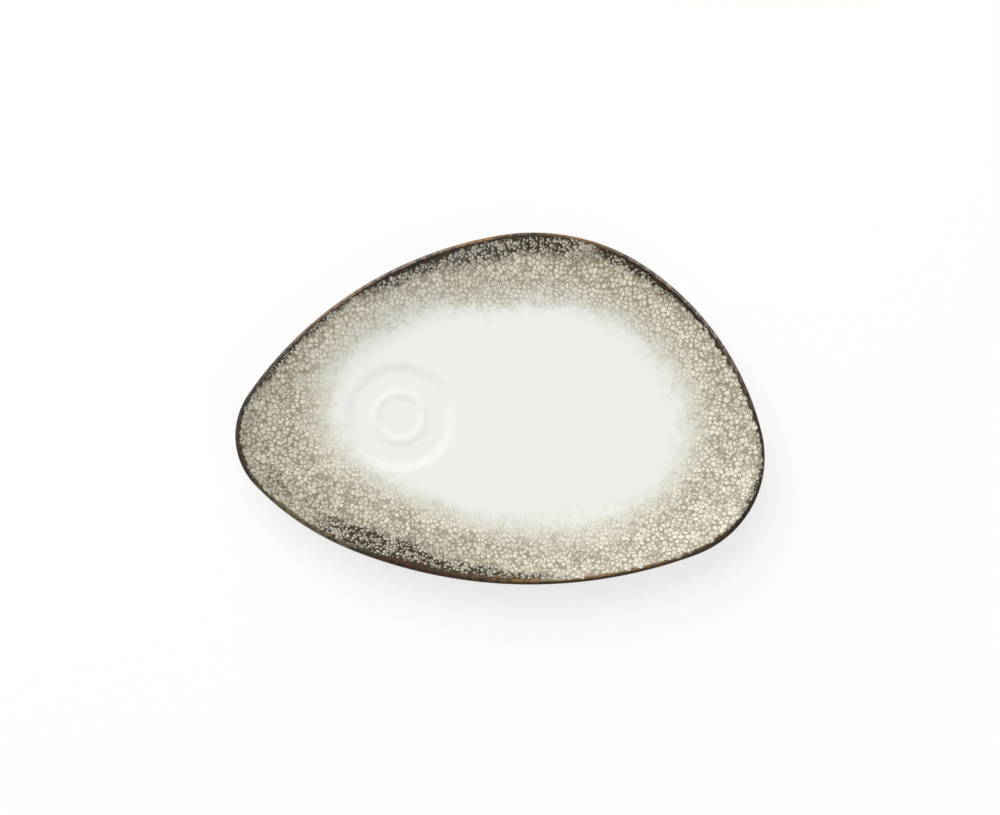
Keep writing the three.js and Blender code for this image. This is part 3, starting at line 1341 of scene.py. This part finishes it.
@dataclass
class TopCoats:
    """The white glaze on the top of the plate and the reactive glaze over it on the rim."""

    shape: PlateShape
    well: CupWell
    spray: Spray
    seat_spacing: float = 3 * MM
    floor_spacing: float = 4 * MM

    def build_white(self) -> bpy.types.Object:
        """Builds the white coat from the cup well to the lip.

        Returns:
            The coat's object.
        """
        shape, coat = self.shape, self.shape.white_glaze
        draft = MeshDraft()
        for thick, turned in ((coat, False), (0.0, True)):
            well = self.well.rings(shape.floor_top + thick)
            rim = shape.rings(shape.rim_stations(), thick)
            draft.flat(well[0], self.seat_spacing, turned=turned).skin(well, turned)
            draft.flat(rim[0], self.floor_spacing, well[-1], turned).skin(rim, turned)
        end = shape.rim_stations()[-1]
        draft.skin([shape.ring(end, coat), shape.ring(end)])
        return draft.piece("white_glaze_coat")

    def build_rim(self) -> bpy.types.Object:
        """Builds the rim's coat, which feathers out to nothing at the floor's edge.

        Returns:
            The coat's object.
        """
        shape, coat = self.shape, self.shape.white_glaze
        stations = shape.rim_stations()
        runs = np.linspace(0, 1, len(stations))
        upper = [shape.ring(s, coat + shape.rim_glaze * run) for s, run in zip(stations, runs)]
        lower = shape.rings(stations, coat)
        draft = MeshDraft().skin(upper).skin(lower, turned=True).skin([upper[-1], lower[-1]])
        return draft.piece("reactive_rim_coat")

    def dress(
        self, white: bpy.types.Object, rim: bpy.types.Object, finish: bpy.types.Material
    ) -> None:
        """Paints both coats with one glaze, so that the spray runs on across their joint.

        Args:
            white: The white coat.
            rim: The rim's coat.
            finish: The glaze's material.
        """
        for piece, node, slot in (
            (white, "white_glaze", "white_glaze"),
            (rim, "reactive_rim_glaze", "reactive_glaze"),
        ):
            self.spray.paint(piece)
            top_map(piece)
            settle(piece, node, finish)


@dataclass
class LipBand:
    """The dark glaze band, swept round the lip."""

    shape: PlateShape
    spray: Spray
    section_steps: int = 24

    def path(self) -> bpy.types.Object:
        """Lays the middle line of the lip as a closed curve.

        Returns:
            The curve's object.
        """
        line = bpy.data.curves.new("lip_band", "CURVE")
        line.dimensions = "3D"
        line.twist_mode = "Z_UP"
        points = self.shape.ring(self.shape.lip_centre())
        spline = line.splines.new("POLY")
        spline.points.add(len(points) - 1)
        spline.points.foreach_set("co", np.column_stack([points, np.ones(len(points))]).ravel())
        spline.use_cyclic_u = True
        return add_object("lip_band_path", line)

    def sweep_tree(self, finish: bpy.types.Material) -> bpy.types.GeometryNodeTree:
        """Builds the tree that sweeps the band's crescent section along the lip.

        Args:
            finish: The band's material.

        Returns:
            A tree with named inputs for the section's sizes.
        """
        tree = bpy.data.node_groups.new("lip_band_sweep", "GeometryNodeTree")
        sockets = tree.interface
        sockets.new_socket("Geometry", in_out="INPUT", socket_type="NodeSocketGeometry")
        for name in ("Lip Radius", "Rim Coat", "Under Coat", "Lean"):
            sockets.new_socket(name, in_out="INPUT", socket_type="NodeSocketFloat")
        sockets.new_socket("Geometry", in_out="OUTPUT", socket_type="NodeSocketGeometry")
        given = add_node(tree, "NodeGroupInput").outputs
        steps = self.section_steps

        # The section's points run out over the glaze and back over the body's lip. The section's
        # own second axis points down.
        count = add_node(tree, "GeometryNodeInputIndex")
        outside = add_node(tree, MATH, [count, steps + 0.5], operation="LESS_THAN")
        ahead = add_node(tree, MATH, [count, float(steps)], operation="DIVIDE")
        back = add_node(tree, MATH, [(2 * steps + 1) / steps, ahead], operation="SUBTRACT")
        turn = add_node(tree, MIX, {"Factor": outside, "A": back, "B": ahead}, data_type="FLOAT")
        mixed = {"Factor": turn, "A": given["Rim Coat"], "B": given["Under Coat"]}
        coat = add_node(tree, MIX, mixed, data_type="FLOAT")
        radius = add_node(tree, MATH, [coat, outside, given["Lip Radius"]], operation="MULTIPLY_ADD")
        start = add_node(tree, MATH, [given["Lean"], -1.0, -UP], operation="MULTIPLY_ADD")
        facing = add_node(tree, MATH, [turn, math.pi, start], operation="MULTIPLY_ADD")
        parts = []
        for operation in ("COSINE", "SINE"):
            part = add_node(tree, MATH, [facing], operation=operation)
            parts.append(add_node(tree, MATH, [part, radius], operation="MULTIPLY"))
        spot = add_node(tree, "ShaderNodeCombineXYZ", parts)
        circle = add_node(tree, "GeometryNodeCurvePrimitiveCircle", {"Resolution": 2 * steps + 2})
        section = add_node(tree, "GeometryNodeSetPosition", {"Geometry": circle, "Position": spot})
        marked = add_node(
            tree,
            "GeometryNodeStoreNamedAttribute",
            {"Geometry": section, "Name": "turn", "Value": turn},
            data_type="FLOAT",
            domain="POINT",
        )
        lines = {"Curve": given["Geometry"], "Profile Curve": marked}
        swept = add_node(tree, "GeometryNodeCurveToMesh", lines)
        whole = add_node(tree, "GeometryNodeRealizeInstances", [swept])
        dressed = add_node(tree, "GeometryNodeSetMaterial", {"Geometry": whole, "Material": finish})
        add_node(tree, "NodeGroupOutput", [dressed])
        return tree

    def build(self, finish: bpy.types.Material) -> bpy.types.Object:
        """Sweeps the band and turns it into a plain mesh.

        Args:
            finish: The band's material.

        Returns:
            The band's object.
        """
        path = self.path()
        tree = self.sweep_tree(finish)
        modifier = path.modifiers.new("sweep", "NODES")
        modifier.node_group = tree
        sizes = {
            "Lip Radius": self.shape.lip_radius,
            "Rim Coat": self.shape.lip_coat(0),
            "Under Coat": self.shape.lip_coat(1),
            "Lean": self.shape.lip_lean,
        }
        for item in tree.interface.items_tree:
            if item.name in sizes:
                modifier[item.identifier] = sizes[item.name]
        graph = bpy.context.evaluated_depsgraph_get()
        mesh = bpy.data.meshes.new_from_object(path.evaluated_get(graph), depsgraph=graph)
        mesh.name = "lip_glaze_band"
        path.modifiers.clear()
        bpy.data.objects.remove(path)
        shape = bmesh.new()
        shape.from_mesh(mesh)
        bmesh.ops.recalc_face_normals(shape, faces=shape.faces)
        shade(mesh, shape)
        return add_object("lip_glaze_band", mesh)

    def dress(self, band: bpy.types.Object, finish: bpy.types.Material) -> None:
        """Paints the band and puts it on the plate."""
        self.spray.paint(band)
        settle(band, "lip_glaze", finish)


@dataclass
class LowerCoats:
    """The glaze under the rim and the glaze inside the foot ring."""

    shape: PlateShape
    base_spacing: float = 10 * MM

    def faces(self, stations: list[Station]) -> tuple[list[np.ndarray], list[np.ndarray]]:
        """Gives the rings of a coat's outer and inner face."""
        return self.shape.rings(stations, self.shape.under_glaze), self.shape.rings(stations)

    def build_under(self) -> bpy.types.Object:
        """Builds the coat from the lip band to the foot ring.

        Returns:
            The coat's object.
        """
        outer, inner = self.faces(self.shape.under_stations())
        draft = MeshDraft().skin(outer).skin(inner, turned=True)
        draft.skin([inner[0], outer[0]]).skin([outer[-1], inner[-1]])
        return draft.piece("underside_glaze_coat")

    def build_base(self) -> bpy.types.Object:
        """Builds the coat inside the foot ring.

        Returns:
            The coat's object.
        """
        outer, inner = self.faces(self.shape.base_stations())
        draft = MeshDraft().skin(outer).flat(outer[-1], self.base_spacing, turned=True)
        draft.skin(inner, turned=True).flat(inner[-1], self.base_spacing)
        draft.skin([inner[0], outer[0]])
        return draft.piece("base_glaze_coat")

    def dress(self, under: bpy.types.Object, base: bpy.types.Object, finish: PlainGlaze) -> None:
        """Dresses both coats in the same glaze.

        Args:
            under: The coat under the rim.
            base: The coat inside the foot ring.
            finish: The glaze.
        """
        material = finish.material()
        settle(under, "underside_glaze", material)
        settle(base, "base_glaze", material)


# Studio


@dataclass(frozen=True)
class Lamp:
    """A soft square lamp that looks at the plate."""

    name: str
    spot: tuple[float, float, float]
    size: float
    power: float

    def build(self) -> None:
        """Hangs the lamp."""
        data = bpy.data.lights.new(self.name, "AREA")
        data.size = self.size
        data.energy = self.power
        lamp = add_object(self.name, data)
        lamp.location = self.spot
        lamp.rotation_euler = Vector(self.spot).to_track_quat("Z", "Y").to_euler()


@dataclass
class Studio:
    """A plain pale table, soft light from the back left, and the camera above the plate."""

    elevation: float = math.radians(76.5)
    distance: float = 1.4
    lens: float = 75.55
    sensor: float = 36.0
    aim: tuple[float, float, float] = (0.2 * MM, 0.72 * MM, 14 * MM)
    sky: float = 0.66
    table: str = "#f4f4f2"
    table_half: float = 6.0
    table_glow: float = 1.12
    glow_share: float = 0.5
    lamps: tuple[Lamp, ...] = (
        Lamp("back_left_softbox", (-1.1, 1.9, 1.9), 4.0, 74),
        Lamp("front_fill", (0.9, -1.4, 1.6), 1.4, 8),
    )

    def camera(self) -> None:
        """Sets the camera at the photograph's angle."""
        data = bpy.data.cameras.new("camera")
        data.sensor_width = self.sensor
        data.lens = self.lens
        camera = add_object("camera", data)
        back = Vector((0.0, -math.cos(self.elevation), math.sin(self.elevation)))
        camera.location = Vector(self.aim) + self.distance * back
        camera.rotation_euler = back.to_track_quat("Z", "Y").to_euler()
        bpy.context.scene.camera = camera

    def floor(self) -> None:
        """Lays the table, white to the camera but for the plate's shadow."""
        half = self.table_half
        corners = [(-half, -half, 0), (half, -half, 0), (half, half, 0), (-half, half, 0)]
        mesh = bpy.data.meshes.new("table")
        mesh.from_pydata(corners, [], [(0, 1, 2, 3)])
        table = add_object("table", mesh)
        finish = bpy.data.materials.new("pale_table")
        finish.use_nodes = True
        tree = finish.node_tree
        tree.nodes.clear()
        seen = add_node(tree, "ShaderNodeLightPath").outputs
        straight = seen["Is Camera Ray"]
        for ray in ("Is Glossy Ray", "Is Transmission Ray"):
            straight = add_node(tree, MATH, [straight, seen[ray]], operation="MAXIMUM")
        share = add_node(tree, MATH, [straight, self.glow_share], operation="MULTIPLY")
        cloth = add_node(tree, "ShaderNodeBsdfDiffuse", {"Color": linear(self.table)})
        glow = add_node(tree, "ShaderNodeEmission", {"Strength": self.table_glow})
        mixed = add_node(tree, "ShaderNodeMixShader", [share, cloth, glow])
        add_node(tree, "ShaderNodeOutputMaterial", {"Surface": mixed})
        mesh.materials.append(finish)

    def world(self) -> None:
        """Fills the room with even white light."""
        world = bpy.data.worlds.new("studio")
        world.use_nodes = True
        tree = world.node_tree
        tree.nodes.clear()
        light = add_node(tree, "ShaderNodeBackground", {"Strength": self.sky})
        add_node(tree, "ShaderNodeOutputWorld", {"Surface": light})
        bpy.context.scene.world = world

    def build(self) -> None:
        """Builds the whole studio."""
        self.camera()
        self.floor()
        self.world()
        for lamp in self.lamps:
            lamp.build()
        bpy.context.scene.view_settings.view_transform = "Standard"


def main() -> None:
    """Builds the studio and the plate."""
    logging.basicConfig(level=logging.INFO, format="%(name)s: %(message)s")
    Studio().build()
    shape, well = PlateShape(), CupWell()
    spray = Spray(shape)
    body = Body(shape, well)
    body.dress(body.build(), BarePorcelain())
    coats = TopCoats(shape, well, spray)
    glaze = ReactiveGlaze().material()
    coats.dress(coats.build_white(), coats.build_rim(), glaze)
    band = LipBand(shape, spray)
    band.dress(band.build(glaze), glaze)
    lower = LowerCoats(shape)
    lower.dress(lower.build_under(), lower.build_base(), PlainGlaze())


if __name__ == "__main__":
    main()
